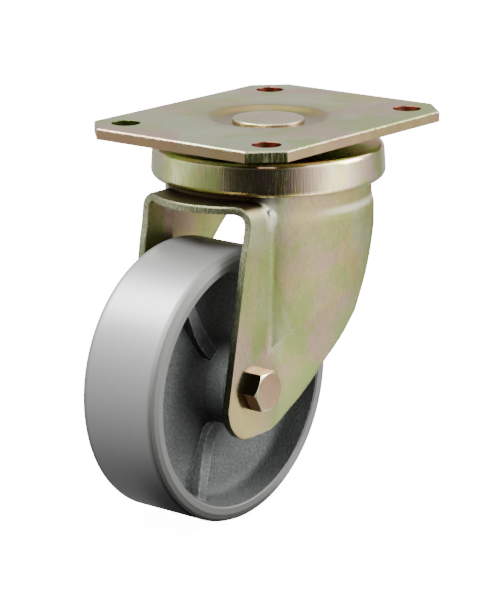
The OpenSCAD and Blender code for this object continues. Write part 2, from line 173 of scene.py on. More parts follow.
# %% Colour helpers
def noise(tree, vector, scale, detail=3.0, rough=0.5, distortion=0.0):
    """A soft random field between 0 and 1."""
    form = {"Vector": vector, "Scale": scale, "Detail": detail, "Roughness": rough,
            "Distortion": distortion}
    return add(tree, "ShaderNodeTexNoise", form).outputs["Fac"]


def ramp(tree, value, stops):
    """A colour ramp from (place, grey or colour) pairs."""
    node = add(tree, "ShaderNodeValToRGB", {"Fac": value})
    marks = node.color_ramp.elements
    while len(marks) < len(stops):
        marks.new(0.5)
    for mark, (where_at, tone) in zip(marks, stops):
        mark.position = where_at
        mark.color = (tone, tone, tone, 1) if isinstance(tone, float) else (*tone, 1)
    return node.outputs["Color"]


def blend(tree, factor, a, b):
    """Two colours mixed by a factor. A colour of three numbers gets its alpha here."""
    a, b = [(*tone, 1) if isinstance(tone, tuple) and len(tone) == 3 else tone for tone in (a, b)]
    return add(tree, "ShaderNodeMix", {"Factor": factor, 6: a, 7: b}, data_type="RGBA").outputs[2]


print("colour helpers ready")

# %% [markdown]
# ## The tint of passivated zinc
# Yellow passivated zinc isn't one colour. The film on it is so thin that it splits light, and its
# thickness drifts, so straw, pink, olive and a greenish grey lie over each other in clouds a few
# centimetres wide. Each tone has a wide noise of its own, taken at another place, and one fine
# noise frays the edges of them all. Such a film could be painted on an image, but a noise in the
# object's own coordinates needs no unwrapping and runs on over every edge. The group puts out the
# colour and the fine noise, which the roughness uses as well.

# %% Group: passivated tint
FLOAT, COLOUR, VECTOR = "NodeSocketFloat", "NodeSocketColor", "NodeSocketVector"
STRAW, PINK = (0.37, 0.315, 0.135), (0.37, 0.265, 0.20)
OLIVE, MIST = (0.25, 0.29, 0.10), (0.31, 0.34, 0.20)
# Tone, offset of its noise, and the noise values where its clouds begin and are full
CLOUDS = ((STRAW, 0.0, 0.40, 0.56), (PINK, 3.3, 0.42, 0.55),
          (OLIVE, 7.9, 0.45, 0.57), (MIST, 12.1, 0.54, 0.68))
FRAY = 0.12
CLOUD_TURN, CLOUD_STRETCH = (0.5, 0.4, 0.3), (1.0, 1.0, 0.62)

tint, tint_in, tint_out = group(
    "passivated_tint",
    [("Place", VECTOR, None), ("Shift", FLOAT, 0.0), ("Width", FLOAT, 24.0), ("Bloom", FLOAT, 1.0),
     ("Plain", COLOUR, (*STRAW, 1)), ("Gain", FLOAT, 1.0)],
    [("Color", COLOUR), ("Mask", FLOAT)])
leaned = add(tint, "ShaderNodeMapping", {"Vector": tint_in["Place"], "Rotation": CLOUD_TURN,
                                         "Scale": CLOUD_STRETCH}).outputs[0]
moved = vector_math(tint, "ADD", leaned, tint_in["Shift"]).outputs[0]
fine = noise(tint, moved, 110.0, 4.0, 0.6, 0.3)
film = tint_in["Plain"]
for tone, offset, low, high in CLOUDS:
    shifted = vector_math(tint, "ADD", moved, (offset, offset, offset)).outputs[0]
    cloud = noise(tint, shifted, tint_in["Width"], 3.0, 0.55, 0.6)
    frayed = calc(tint, "MULTIPLY_ADD", fine, FRAY, calc(tint, "SUBTRACT", cloud, FRAY / 2))
    film = blend(tint, times(tint, eased(tint, frayed, low, high), tint_in["Bloom"]), film, tone)
gained = add(tint, "ShaderNodeVectorMath", {0: film, "Scale": tint_in["Gain"]},
             operation="SCALE").outputs[0]
tint.links.new(gained, tint_out["Color"])
tint.links.new(fine, tint_out["Mask"])
print("passivated tint:", len(tint.nodes), "nodes")

# %% [markdown]
# ## Drawn lines on turned and sheared steel
# A lathe or a press leaves fine lines. The same noise, squeezed hard along two directions, gives
# lines along the third. Real grooves that fine would need millions of faces. The group stretches
# whatever place it is given and puts out a height.

# %% Group: drawn lines
lines, lines_in, lines_out = group(
    "drawn_lines",
    [("Place", VECTOR, None), ("Stretch", VECTOR, (1.0, 1.0, 1.0)), ("Fineness", FLOAT, 400.0)],
    [("Height", FLOAT)])
squeezed = vector_math(lines, "MULTIPLY", lines_in["Place"], lines_in["Stretch"]).outputs[0]
lines.links.new(noise(lines, squeezed, lines_in["Fineness"], 3.0, 0.6), lines_out["Height"])
print("drawn lines:", len(lines.nodes), "nodes")

# %% [markdown]
# ## Polar coordinates
# The cup and the wheel are turned, so their lines and zones follow a radius and an angle. This
# group takes the two distances from an axis and gives the radius and the angle round it.

# %% Group: round the axis
polar, polar_in, polar_out = group(
    "round_the_axis", [("Across", FLOAT, 0.0), ("Up", FLOAT, 0.0)],
    [("Radius", FLOAT), ("Angle", FLOAT)])
across, up = polar_in["Across"], polar_in["Up"]
squares = calc(polar, "ADD", times(polar, across, across), times(polar, up, up))
polar.links.new(calc(polar, "SQRT", squares), polar_out["Radius"])
polar.links.new(calc(polar, "ARCTAN2", up, across), polar_out["Angle"])
print("polar group:", len(polar.nodes), "nodes")

# %% [markdown]
# ## Rounded arrises
# No real edge is perfectly sharp, and the small round on it catches the light as a thin bright line. A
# Bevel node bends the normal near an edge without new geometry. Comparing that bent normal with the true
# one also tells where the edges are, which gives a mask for the rubbed film there. That film is painted
# pale, as wear and as a painted glint.

# %% Group: arris
TURNED_AWAY = (0.02, 0.12)  # one less the cosine between the two normals: no edge, full edge
TORN_FILM = (0.38, 0.55)

arris, arris_in, arris_out = group(
    "arris", [("Radius", FLOAT, 0.0004), ("Place", VECTOR, None)], [("Normal", VECTOR), ("Mask", FLOAT)])
rounded = add(arris, "ShaderNodeBevel", {"Radius": arris_in["Radius"]}, samples=4).outputs[0]
true_normal = arris.nodes.new("ShaderNodeNewGeometry").outputs["Normal"]
alike = vector_math(arris, "DOT_PRODUCT", rounded, true_normal).outputs["Value"]
bent = between(arris, calc(arris, "SUBTRACT", 1.0, alike), *TURNED_AWAY)
torn = between(arris, noise(arris, arris_in["Place"], 700.0, 3.0, 0.7), *TORN_FILM)
arris.links.new(rounded, arris_out["Normal"])
arris.links.new(times(arris, bent, torn), arris_out["Mask"])
print("arris group:", len(arris.nodes), "nodes")

# %% [markdown]
# ## Softer slopes
# A pressing has no hard change of slope where the drawing tool has drawn it over a long radius. This
# group leans the normals of a side face towards the side direction, in the piece's own axes, so that
# the slopes of the pressing shine as one drawn surface. Faces that look up, forward or back keep
# their own normals.

# %% Group: drawn slopes
SIDE_FACE = (0.35, 0.75)  # how far a normal points sideways where the lean begins and is full

slopes, slopes_in, slopes_out = group(
    "drawn_slopes", [("Normal", VECTOR, None), ("Lean", FLOAT, 0.7)], [("Normal", VECTOR)])
own = xyz(slopes, add(slopes, "ShaderNodeVectorTransform", {0: slopes_in["Normal"]},
                      vector_type="NORMAL", convert_from="WORLD", convert_to="OBJECT").outputs[0])
sideways = eased(slopes, size(slopes, own["Y"]), *SIDE_FACE)
taken = times(slopes, sideways, calc(slopes, "SUBTRACT", 1.0, slopes_in["Lean"]))
keep = calc(slopes, "SUBTRACT", 1.0, taken)
calmed = point(slopes, times(slopes, own["X"], keep), own["Y"], times(slopes, own["Z"], keep))
unit = vector_math(slopes, "NORMALIZE", calmed).outputs[0]
back_out = add(slopes, "ShaderNodeVectorTransform", {0: unit},
               vector_type="NORMAL", convert_from="OBJECT", convert_to="WORLD").outputs[0]
slopes.links.new(back_out, slopes_out["Normal"])
print("drawn slopes:", len(slopes.nodes), "nodes")

# %% [markdown]
# ## Starting a material
# Every finish starts from a Principled shader and the object's own coordinates. The CAD objects
# all sit at the origin, so these coordinates are the castor's frame in metres. The CAD model brings
# plain materials of its own, so the new ones are kept in a dictionary instead of being looked up by
# name, which could find a plain one.

# %% Material starter
FINISHES = {}


def finish_for(name, metallic, roughness, colour=(0.5, 0.5, 0.5)):
    """A new material: its tree, its Principled shader and the object coordinates."""
    FINISHES[name] = bpy.data.materials.new("finish_" + name)
    FINISHES[name].use_nodes = True
    tree = FINISHES[name].node_tree
    shader = tree.nodes["Principled BSDF"].inputs
    shader["Metallic"].default_value = metallic
    shader["Roughness"].default_value = roughness
    shader["Base Color"].default_value = (*colour, 1)
    return tree, shader, tree.nodes.new("ShaderNodeTexCoord").outputs["Object"]


def face_way(tree):
    """The direction that a face looks in, in the object's own axes."""
    return xyz(tree, tree.nodes["Texture Coordinate"].outputs["Normal"])


def bump(tree, shader, height, strength, distance, normal=None):
    """Joins a height to the shader's normal, on top of another normal if there is one."""
    node = add(tree, "ShaderNodeBump", {"Height": height, "Strength": strength, "Distance": distance})
    if normal is not None:
        tree.links.new(normal, node.inputs["Normal"])
    tree.links.new(node.outputs["Normal"], shader["Normal"])


print("starter ready")

# %% Places on a piece, and giving it a finish
def from_axis(tree, spot):
    """The polar group for the swivel axis, which is the frame's own Z."""
    return place(tree, polar, Across=spot["X"], Up=spot["Y"])


def from_axle(tree, spot):
    """The polar group for the wheel's axle, which lies along Y."""
    return place(tree, polar, Across=calc(tree, "SUBTRACT", spot["X"], AXLE.x),
                 Up=calc(tree, "SUBTRACT", spot["Z"], AXLE.z))


def wear(name, *members):
    """Gives a material to CAD nodes, in every slot they have."""
    for member in members:
        slots = nodes[member].data.materials
        if not slots:
            slots.append(FINISHES[name])
        for i in range(len(slots)):
            slots[i] = FINISHES[name]
    print(name, "->", ", ".join(members))


print("places and wear ready")

# %% [markdown]
# ## Plated sheet steel
# The plate, the fork and the small parts share one recipe with other numbers: the tint, fine lines from
# rolling and a few bright specks, a drift in roughness, a very shallow unevenness left by the press, and
# rubbed arrises whose pale tone is also a painted glint. The function gives back the tree and the film's
# colour, so that the plate, the fork and the bolt can add their own marks.

# %% Plated sheet
LINE_TONE, SPECK_TONE, RUBBED_AND_GLINT_TONE = (0.16, 0.14, 0.07), (0.90, 0.86, 0.72), (0.86, 0.80, 0.60)
FOOT_RANGE = (-0.060, -0.085)  # height below which the slopes of the pressing are softest
FOOT_SOFTER = 0.65
LINES_SEEN, LINES_DARK = (0.45, 0.75), 0.45
SPECKS_SEEN, SPECKS_PALE = (0.70, 0.76), 0.6
RUBBED_GLINT_SHARE = 0.8
DENT_DEPTH = 0.0006


def plated(name, shift, width, bloom, plain, gain=1.0, rough=(0.30, 0.42), dents=0.2, edge=0.0004,
           lean=1.0, round_edge=None, vivid=1.0):
    """A plated finish: its tree, its shader's inputs, the object coordinates and its colour."""
    tree, shader, where = finish_for(name, 1.0, 0.3)
    film = place(tree, tint, Place=where, Shift=shift, Width=width, Bloom=bloom,
                 Plain=(*plain, 1), Gain=gain)
    rim = place(tree, arris, Radius=edge, Place=where)
    tone = add(tree, "ShaderNodeHueSaturation", {"Saturation": vivid, "Color": film["Color"]}).outputs[0]
    grain = place(tree, lines, Place=where, Stretch=(1.0, 1.0, 0.35), Fineness=900.0)["Height"]
    tone = blend(tree, between(tree, grain, *LINES_SEEN, 0.0, LINES_DARK), tone, LINE_TONE)
    specks = noise(tree, where, 1500.0, 2.0, 0.5)
    tone = blend(tree, between(tree, specks, *SPECKS_SEEN, 0.0, SPECKS_PALE), tone, SPECK_TONE)
    # Rubbed arrises: a pale tone that is partly wear and partly a painted glint along the edges.
    tone = blend(tree, times(tree, rim["Mask"], RUBBED_GLINT_SHARE), tone, RUBBED_AND_GLINT_TONE)
    tree.links.new(tone, shader["Base Color"])
    tree.links.new(between(tree, film["Mask"], 0.3, 0.7, *rough), shader["Roughness"])
    normal = rim["Normal"]
    if round_edge:
        normal = place(tree, arris, Radius=round_edge, Place=where)["Normal"]
    if lean < 1.0:
        lower = between(tree, xyz(tree, where)["Z"], *FOOT_RANGE, lean, lean * FOOT_SOFTER)
        normal = place(tree, slopes, Normal=normal, Lean=lower)["Normal"]
    bump(tree, shader, noise(tree, where, 70.0, 3.0, 0.5), dents, DENT_DEPTH, normal)
    return tree, shader, where, tone


print("plated sheet ready")

# %% [markdown]
# ## Small plated parts
# The washers, the nuts and the pin are plated like the sheet. On the bolt head a dark room's reflection
# is painted into its left flank and a warm metal's reflection into the one below, and its chamfer is
# pale. Each flank could have a material slot of its own, but the mesh would have to be cut up for it.
# Here a flank is told from the others by the way it faces, in the bolt's own axes.

# %% Small plated parts
DARK_ROOM_REFLECTION, WARM_METAL_REFLECTION, PALE_CHAMFER = (0.02, 0.018, 0.010), (0.30, 0.155, 0.085), (0.72, 0.70, 0.42)
# Which way each flank faces, in X and Z, and how far a chamfer faces along Y
LEFT_X, LEFT_Z = (-0.45, -0.60), (-0.35, -0.20)
LOWER_X, LOWER_Z = (-0.25, -0.40), (-0.30, -0.42)
NOT_THE_END, NOT_A_FLANK = (0.985, 0.95), (0.15, 0.35)
DARK_REFLECTION_SHARE, LESS_METALLIC = 0.97, -0.75

plated("zinc_small", 7.7, 40.0, 0.6, STRAW)
plated("zinc_pin", 5.2, 40.0, 0.4, (0.44, 0.365, 0.235), rough=(0.28, 0.36))
tree, shader, where, film = plated(
    "zinc_bolt", 4.6, 60.0, 0.22, (0.265, 0.125, 0.078), rough=(0.16, 0.26), dents=0.1)
facing = face_way(tree)
left = times(tree, between(tree, facing["X"], *LEFT_X), between(tree, facing["Z"], *LEFT_Z))
lower = times(tree, between(tree, facing["X"], *LOWER_X), between(tree, facing["Z"], *LOWER_Z))
# Painted reflections: the left flank is darkened as a dark room's reflection, the lower flank warmed as
# a warm metal's reflection.
film = blend(tree, times(tree, left, DARK_REFLECTION_SHARE), film, DARK_ROOM_REFLECTION)
film = blend(tree, lower, film, WARM_METAL_REFLECTION)
slant = size(tree, facing["Y"])
chamfer = times(tree, between(tree, slant, *NOT_THE_END), between(tree, slant, *NOT_A_FLANK))
tree.links.new(calc(tree, "MULTIPLY_ADD", lower, LESS_METALLIC, 1.0), shader["Metallic"])
tree.links.new(blend(tree, chamfer, film, PALE_CHAMFER), shader["Base Color"])
wear("zinc_small", "king_washer", "king_nut", "nut_washer", "hub_washer_near", "hub_washer_far")
wear("zinc_pin", "king_pin")
wear("zinc_bolt", "axle_bolt", "axle_nut")

# %% [markdown]
# ## The top plate
# The pressed dish is a shade warmer than the flat. The sides are sheared, with a pale burr along their
# top that is also a painted highlight, and the clipped corners have upright streaks. The film inside the
# holes is red, and green in the one at the left. All of these are masks in one material, because the
# plate is one solid and its mesh stays as it is. Sides and corners are told by the way they face.

# %% The top plate's dish and sides
DISH_RIM = (0.040, 0.027)  # radius where the dish's tone begins and is full
DISH_TONES = [(0.0, (0.13, 0.09, 0.040)), (0.44, (0.15, 0.10, 0.045)), (0.56, (0.25, 0.17, 0.065)),
              (0.72, (0.27, 0.23, 0.095)), (0.92, (0.35, 0.36, 0.24))]
CORNER_TONES = [(0.36, (0.10, 0.12, 0.04)), (0.50, (0.30, 0.33, 0.12)), (0.62, (0.66, 0.68, 0.38))]
SIDE_TONE, BURR_AND_GLINT_TONE = (0.44, 0.29, 0.16), (0.95, 0.88, 0.66)
SIDE_FACES, CORNER_FACES = (0.4, 0.3), (0.66, 0.69)  # told by which way they face
BURR_SPREAD, BURR_DEPTH = 0.0026, -0.0021
SIDE_SHARE, DISH_SHARE, BURR_GLINT_SHARE = 0.75, 0.75, 0.8
DISH_SCALE, UPRIGHT = 20.0, (1.0, 1.0, 0.12)  # the dish's tones run over 50 mm of radius

tree, shader, where, film = plated(
    "zinc_plate", 0.0, 24.0, 1.0, (0.35, 0.37, 0.27), gain=1.08, rough=(0.26, 0.36), dents=0.12,
    edge=0.0006, vivid=1.3)
facing, spot = face_way(tree), xyz(tree, where)
side = between(tree, size(tree, facing["Z"]), *SIDE_FACES)
film = blend(tree, times(tree, side, SIDE_SHARE), film, SIDE_TONE)
dish = from_axis(tree, spot)["Radius"]
ringed = ramp(tree, times(tree, dish, DISH_SCALE), DISH_TONES)
film = blend(tree, times(tree, between(tree, dish, *DISH_RIM), DISH_SHARE), film, ringed)
slanted = calc(tree, "MINIMUM", size(tree, facing["X"]), size(tree, facing["Y"]))
corner = between(tree, slanted, *CORNER_FACES)
upright = vector_math(tree, "MULTIPLY", where, UPRIGHT).outputs[0]
streaks = noise(tree, upright, 900.0, 3.0, 0.6)
film = blend(tree, corner, film, ramp(tree, streaks, CORNER_TONES))
ragged = calc(tree, "MULTIPLY_ADD", noise(tree, where, 420.0, 3.0, 0.7), BURR_SPREAD, BURR_DEPTH)
# A ragged pale band along the top of the sides: a burr and a painted highlight.
burr_and_glint = times(tree, side, calc(tree, "GREATER_THAN", spot["Z"], ragged))
film = blend(tree, times(tree, burr_and_glint, BURR_GLINT_SHARE), film, BURR_AND_GLINT_TONE)
print("dish and sides:", len(tree.nodes), "nodes")

# %% The top plate's holes
HOLE_X, HOLE_Y = 0.0525, 0.0400
HOLE_EDGE = (0.0068, 0.0066)
HOLE_RED, HOLE_GREEN = (0.30, 0.10, 0.06), (0.10, 0.14, 0.03)
LEFT_HOLE = (0.04, 0.06)

hole = place(tree, polar, Across=calc(tree, "SUBTRACT", size(tree, spot["X"]), HOLE_X),
             Up=calc(tree, "SUBTRACT", size(tree, spot["Y"]), HOLE_Y))
to_left = between(tree, calc(tree, "SUBTRACT", spot["Y"], spot["X"]), *LEFT_HOLE)
in_hole = blend(tree, to_left, HOLE_RED, HOLE_GREEN)
film = blend(tree, between(tree, hole["Radius"], *HOLE_EDGE), film, in_hole)
tree.links.new(film, shader["Base Color"])
wear("zinc_plate", "top_plate")

# %% [markdown]
# ## The fork
# The fork is one pressing with a neck, a crown and two legs. Some of its marks lie where the real tool
# left them, and some are painted shade and highlights; each is chosen by a range of places and by the
# way a face looks.
#
# Where sheet is cut, the cut face is rougher than the rolled face and takes more of the green film.
# The front edge and the lower rear edge of the fork are such faces. They get dark and pale lines, and
# the lower part of the edge, which faces the dark wheel, gets painted shade.

# %% The fork's cut edges
# Pairs in metres: where a mark begins and where it is full
LEG_FRONT_X = (-0.0512, -0.0516)
OUTSIDE_Y = (0.0235, 0.0240)
BELOW_NECK_Z = (-0.0375, -0.0385)
EDGE_IN_SHADE_Z = (-0.045, -0.100)
CUT_TONES = [(0.34, (0.20, 0.21, 0.11)), (0.50, (0.32, 0.34, 0.19)), (0.68, (0.55, 0.58, 0.40))]
CUT_IN_SHADE, CUT_SHADED = (0.035, 0.038, 0.018), 0.8
FACES_FRONT_X, EDGE_ON_Y = (-0.6, -0.7), (0.12, 0.08)  # told by which way they face

tree, shader, where, film = plated(
    "zinc_fork", 3.1, 26.0, 1.0, STRAW, gain=0.87, rough=(0.38, 0.50), dents=0.25, edge=0.0005,
    lean=0.46, round_edge=0.0018, vivid=1.08)
facing, spot = face_way(tree), xyz(tree, where)
aside = size(tree, spot["Y"])
front_cut = times(tree, between(tree, facing["X"], *FACES_FRONT_X),
                  between(tree, spot["X"], *LEG_FRONT_X))
low_cut = times(tree, between(tree, size(tree, facing["Y"]), *EDGE_ON_Y),
                between(tree, aside, *OUTSIDE_Y), between(tree, spot["Z"], *BELOW_NECK_Z))
cut = calc(tree, "MAXIMUM", front_cut, low_cut)
torn = place(tree, lines, Place=where, Stretch=(1.0, 1.0, 0.25), Fineness=2400.0)["Height"]
# Painted shade down the cut edge, darkest low where it faces the wheel.
in_shade = between(tree, spot["Z"], *EDGE_IN_SHADE_Z, 0.0, CUT_SHADED)
sheared = blend(tree, in_shade, ramp(tree, torn, CUT_TONES), CUT_IN_SHADE)
print("cut edges:", len(tree.nodes), "nodes")

# %% [markdown]
# ### Shade and light on the pressing
# The crown and the front of the neck lie under the cup and stay dark, as painted shade. The fold under
# the neck has a painted highlight, and the corner where the crown, the neck and the leg meet has a
# painted glint. The picture's own studio gave that shade. Here it is part of the film's colour, so it
# stays when the fork turns.

# %% The fork's shade and highlights
FACES_UP_Z = (0.55, 0.85)
CROWN_TOP_Z, UNDER_CUP_X = (-0.0240, -0.0255), (-0.030, -0.037)
NECK_Z, NECK_FRONT_X = (-0.0315, -0.0300), (-0.032, -0.037)
FOLD_DEPTH, FOLD_BAND, FOLD_START_X = 0.0358, (0.0022, 0.0006), (-0.022, -0.002)
CORNER_BACK, CORNER_ASIDE, CORNER_DEPTH = 0.0376, 0.0294, 0.0345
GLINT_REACH = (0.0046, 0.0012)
SHADE_TONE, FOLD_HIGHLIGHT_TONE, GLINT_TONE = (0.07, 0.045, 0.030), (0.85, 0.80, 0.66), (0.88, 0.85, 0.70)
SHADE_SHARE, FOLD_HIGHLIGHT_SHARE, GLINT_SHARE = 0.85, 0.45, 0.6

on_top = times(tree, between(tree, facing["Z"], *FACES_UP_Z), between(tree, spot["Z"], *CROWN_TOP_Z))
crown_shade = times(tree, on_top, between(tree, spot["X"], *UNDER_CUP_X))
neck_shade = times(tree, between(tree, spot["Z"], *NECK_Z), between(tree, spot["X"], *NECK_FRONT_X))
shade = calc(tree, "MAXIMUM", crown_shade, neck_shade)
film = blend(tree, times(tree, shade, SHADE_SHARE), film, SHADE_TONE)
# A painted highlight along the fold under the neck.
off_fold = size(tree, calc(tree, "ADD", spot["Z"], FOLD_DEPTH))
fold_highlight = times(tree, between(tree, off_fold, *FOLD_BAND), between(tree, spot["X"], *FOLD_START_X))
film = blend(tree, times(tree, fold_highlight, FOLD_HIGHLIGHT_SHARE), film, FOLD_HIGHLIGHT_TONE)
# A painted glint at the corner where the crown, the neck and the leg meet.
from_corner = point(
    tree, calc(tree, "ADD", spot["X"], CORNER_BACK), calc(tree, "SUBTRACT", aside, CORNER_ASIDE),
    times(tree, calc(tree, "ADD", spot["Z"], CORNER_DEPTH), 0.5))
off_corner = vector_math(tree, "LENGTH", from_corner).outputs["Value"]
glint = between(tree, off_corner, *GLINT_REACH, 0.0, GLINT_SHARE)
print("shade and highlights:", len(tree.nodes), "nodes")

# %% [markdown]
# ### The lower leg
# Towards the foot the film is a little darker, and along the rear edge it is greener in patches. The
# distance from that edge is measured along a direction that points out of it. The bolt has pressed
# the sheet smooth around its head, so the steel shines there.

# %% The fork's lower leg
FOOT_Z = (-0.095, -0.125)
REAR_BACK, REAR_DEPTH = 0.0296, 0.1317  # a point on the rear edge
REAR_OUT_X, REAR_OUT_Z = 0.818, 0.577  # the direction out of it
REAR_BAND = (-0.013, -0.003)
SMOOTH_ROUND_BOLT = (0.017, 0.032)
FOOT_TONE, REAR_TONE = (0.25, 0.205, 0.070), (0.17, 0.25, 0.075)
FOOT_DARKER, BOLT_ROUGHNESS = 0.42, 0.45
PATCHES, PATCH_SHARES = (0.42, 0.52), (0.15, 0.75)

film = blend(tree, between(tree, spot["Z"], *FOOT_Z, 0.0, FOOT_DARKER), film, FOOT_TONE)
outwards = calc(
    tree, "SUBTRACT", times(tree, calc(tree, "ADD", spot["X"], REAR_BACK), REAR_OUT_X),
    times(tree, calc(tree, "ADD", spot["Z"], REAR_DEPTH), REAR_OUT_Z))
patchy = between(tree, noise(tree, where, 60.0, 2.0, 0.5), *PATCHES, *PATCH_SHARES)
film = blend(tree, times(tree, between(tree, outwards, *REAR_BAND), patchy), film, REAR_TONE)
# The painted glint at the crown's corner is laid on here.
film = blend(tree, glint, film, GLINT_TONE)
drift = shader["Roughness"].links[0].from_socket
dulled = between(tree, from_axle(tree, spot)["Radius"], *SMOOTH_ROUND_BOLT, BOLT_ROUGHNESS, 1.0)
tree.links.new(times(tree, drift, dulled), shader["Roughness"])
tree.links.new(blend(tree, cut, film, sheared), shader["Base Color"])
wear("zinc_fork", "fork")

# %% [markdown]
# ## The race cup
# The cup is the brightest piece. Its skirt was brushed upright before it was plated, so fine lines
# run up and down it, while the round shoulder above stays smooth. The lines are a noise on the
# angle round the swivel axis, faded out towards the shoulder.

# %% Race cup
SKIRT_Z, STROKE_SEEN = (-0.0135, -0.0150), (0.50, 0.72)
CUP_TONE, STROKE_TONE = (0.40, 0.37, 0.20), (0.30, 0.27, 0.15)
CUP_ROUGH, STROKE_ROUGHER, STROKE_SHARE = 0.15, 0.22, 0.5

tree, shader, where = finish_for("zinc_cup", 1.0, 0.2)
spot = xyz(tree, where)
unrolled = point(tree, from_axis(tree, spot)["Angle"], times(tree, spot["Z"], 1.2))
brushed = place(tree, lines, Place=unrolled, Stretch=(1.0, 1.0, 1.0), Fineness=85.0)["Height"]
skirt = between(tree, spot["Z"], *SKIRT_Z)
strokes = times(tree, between(tree, brushed, *STROKE_SEEN), skirt)
film = place(tree, tint, Place=where, Shift=1.7, Width=38.0, Bloom=1.0, Plain=(*CUP_TONE, 1), Gain=2.3)
streaked = blend(tree, times(tree, strokes, STROKE_SHARE), film["Color"], STROKE_TONE)
tree.links.new(streaked, shader["Base Color"])
tree.links.new(calc(tree, "MULTIPLY_ADD", strokes, STROKE_ROUGHER, CUP_ROUGH), shader["Roughness"])
rim = place(tree, arris, Radius=0.0004, Place=where)
bump(tree, shader, times(tree, brushed, skirt), 0.35, 0.0002, rim["Normal"])
wear("zinc_cup", "race_cup")

# %% [markdown]
# ## The wheel
# One casting shows three finishes. The tread is turned bright, the rim's side face is turned too but
# duller, and everything inside the rim is raw cast iron, dark and grainy. The zones are chosen by the
# distance from the axle and from the middle plane, in one material, since the wheel is one casting. Near
# the hub and under the rim the iron has painted shade, and the edges of its ribs are worn pale, which
# also stands as a painted highlight.

# %% The wheel's iron
HUB_R, UNDER_RIM_R, INNER_R = (0.036, 0.022), (0.0485, 0.0515), (0.05535, 0.05565)
IRON_TONES = [(0.34, (0.048, 0.053, 0.050)), (0.50, (0.078, 0.086, 0.081)),
              (0.66, (0.130, 0.141, 0.134))]
IRON_PAINTED_SHADE, IRON_WORN_AND_SHEEN = (0.018, 0.021, 0.019), (0.36, 0.38, 0.37)
HUB_RIM_SHADE_SHARE, WORN_SHEEN_SHARE, GRAIN_SHARE, PATCH_SHARE = 0.55, 0.6, 0.80, 0.20

tree, shader, where = finish_for("wheel_iron", 1.0, 0.4)
spot = xyz(tree, where)
spun = from_axle(tree, spot)
inner = between(tree, spun["Radius"], *INNER_R, 1.0, 0.0)
grain = noise(tree, where, 900.0, 4.0, 0.7)
patches = noise(tree, where, 60.0, 3.0, 0.6)
rough_cast = calc(tree, "ADD", times(tree, grain, GRAIN_SHARE), times(tree, patches, PATCH_SHARE))
# Painted shade on the iron near the hub and under the rim.
painted_shade = calc(tree, "MAXIMUM", between(tree, spun["Radius"], *HUB_R, 0.0, HUB_RIM_SHADE_SHARE),
            between(tree, spun["Radius"], *UNDER_RIM_R, 0.0, HUB_RIM_SHADE_SHARE))
iron = blend(tree, painted_shade, ramp(tree, rough_cast, IRON_TONES), IRON_PAINTED_SHADE)
# Pale rib edges: partly wear, partly a painted highlight.
worn_and_sheen = place(tree, arris, Radius=0.0014, Place=where)["Mask"]
iron = blend(tree, times(tree, worn_and_sheen, WORN_SHEEN_SHARE), iron, IRON_WORN_AND_SHEEN)
print("iron:", len(tree.nodes), "nodes")

# %% The wheel's turned faces
SIDE_Y = (0.0165, 0.0185)
TREAD_TONES, RIM_TONE = ((0.335, 0.335, 0.335), (0.29, 0.29, 0.295)), (0.165, 0.166, 0.158)
CUTS_APART, CUTS_ALONG, CUT_DEPTH = 9.0, 0.02, 0.04
TURNED_METALLIC, CAST_LESS = 0.70, -0.50
TREAD_ROUGH, RIM_ROUGHER, CAST_ROUGH = 0.40, 0.20, 0.60

lathe = point(tree, times(tree, spun["Radius"], CUTS_APART), times(tree, spot["Y"], CUTS_APART),
              times(tree, spun["Angle"], CUTS_ALONG))
cuts = place(tree, lines, Place=lathe, Stretch=(1.0, 1.0, 1.0), Fineness=260.0)["Height"]
side_face = between(tree, size(tree, spot["Y"]), *SIDE_Y)
bright = blend(tree, side_face, blend(tree, cuts, *TREAD_TONES), RIM_TONE)
tree.links.new(blend(tree, inner, bright, iron), shader["Base Color"])
tree.links.new(calc(tree, "MULTIPLY_ADD", inner, CAST_LESS, TURNED_METALLIC), shader["Metallic"])
turned_rough = calc(tree, "MULTIPLY_ADD", side_face, RIM_ROUGHER, TREAD_ROUGH)
cast_rough = times(tree, inner, CAST_ROUGH)
tree.links.new(calc(tree, "MAXIMUM", turned_rough, cast_rough), shader["Roughness"])
bump(tree, shader, either(tree, inner, times(tree, cuts, CUT_DEPTH), grain), 0.7, 0.0006)
wear("wheel_iron", "wheel")

# %% [markdown]
# ## Bearing steel and brass
# The balls, rollers and races are hidden in the finished castor, but they show in an open view,
# so they get plain, clean finishes.

# %% Bearing parts
finish_for("ball_steel", 1.0, 0.12, (0.72, 0.73, 0.75))
finish_for("race_steel", 1.0, 0.35, (0.42, 0.43, 0.45))
finish_for("cage_brass", 1.0, 0.3, (0.72, 0.55, 0.25))
wear("ball_steel", "upper_balls", "lower_balls", "rollers")
wear("race_steel", "lower_race", "axle_sleeve")
wear("cage_brass", "roller_cage")

# %% [markdown]
# ## What the metal sees
# Bare metal shows little but what it reflects. A catalogue studio has wide soft boxes to the left
# and right, a pale sweep behind, and a darker room behind the camera, which is what gives the dark
# middle of a polished cup. This group gives the brightness of that studio for a direction, from one
# ramp round the horizon for low directions, one for higher ones, and an even ceiling. A ramp holds
# values up to 1, so the brightness is divided by that of the brightest soft box and multiplied again.

# %% Group: studio round the castor
SOFTBOX, CEILING = 5.0, (0.50, 0.50, 0.50)
RISE_HEIGHT, CEILING_HEIGHT = (0.18, 0.55), (0.65, 0.95)
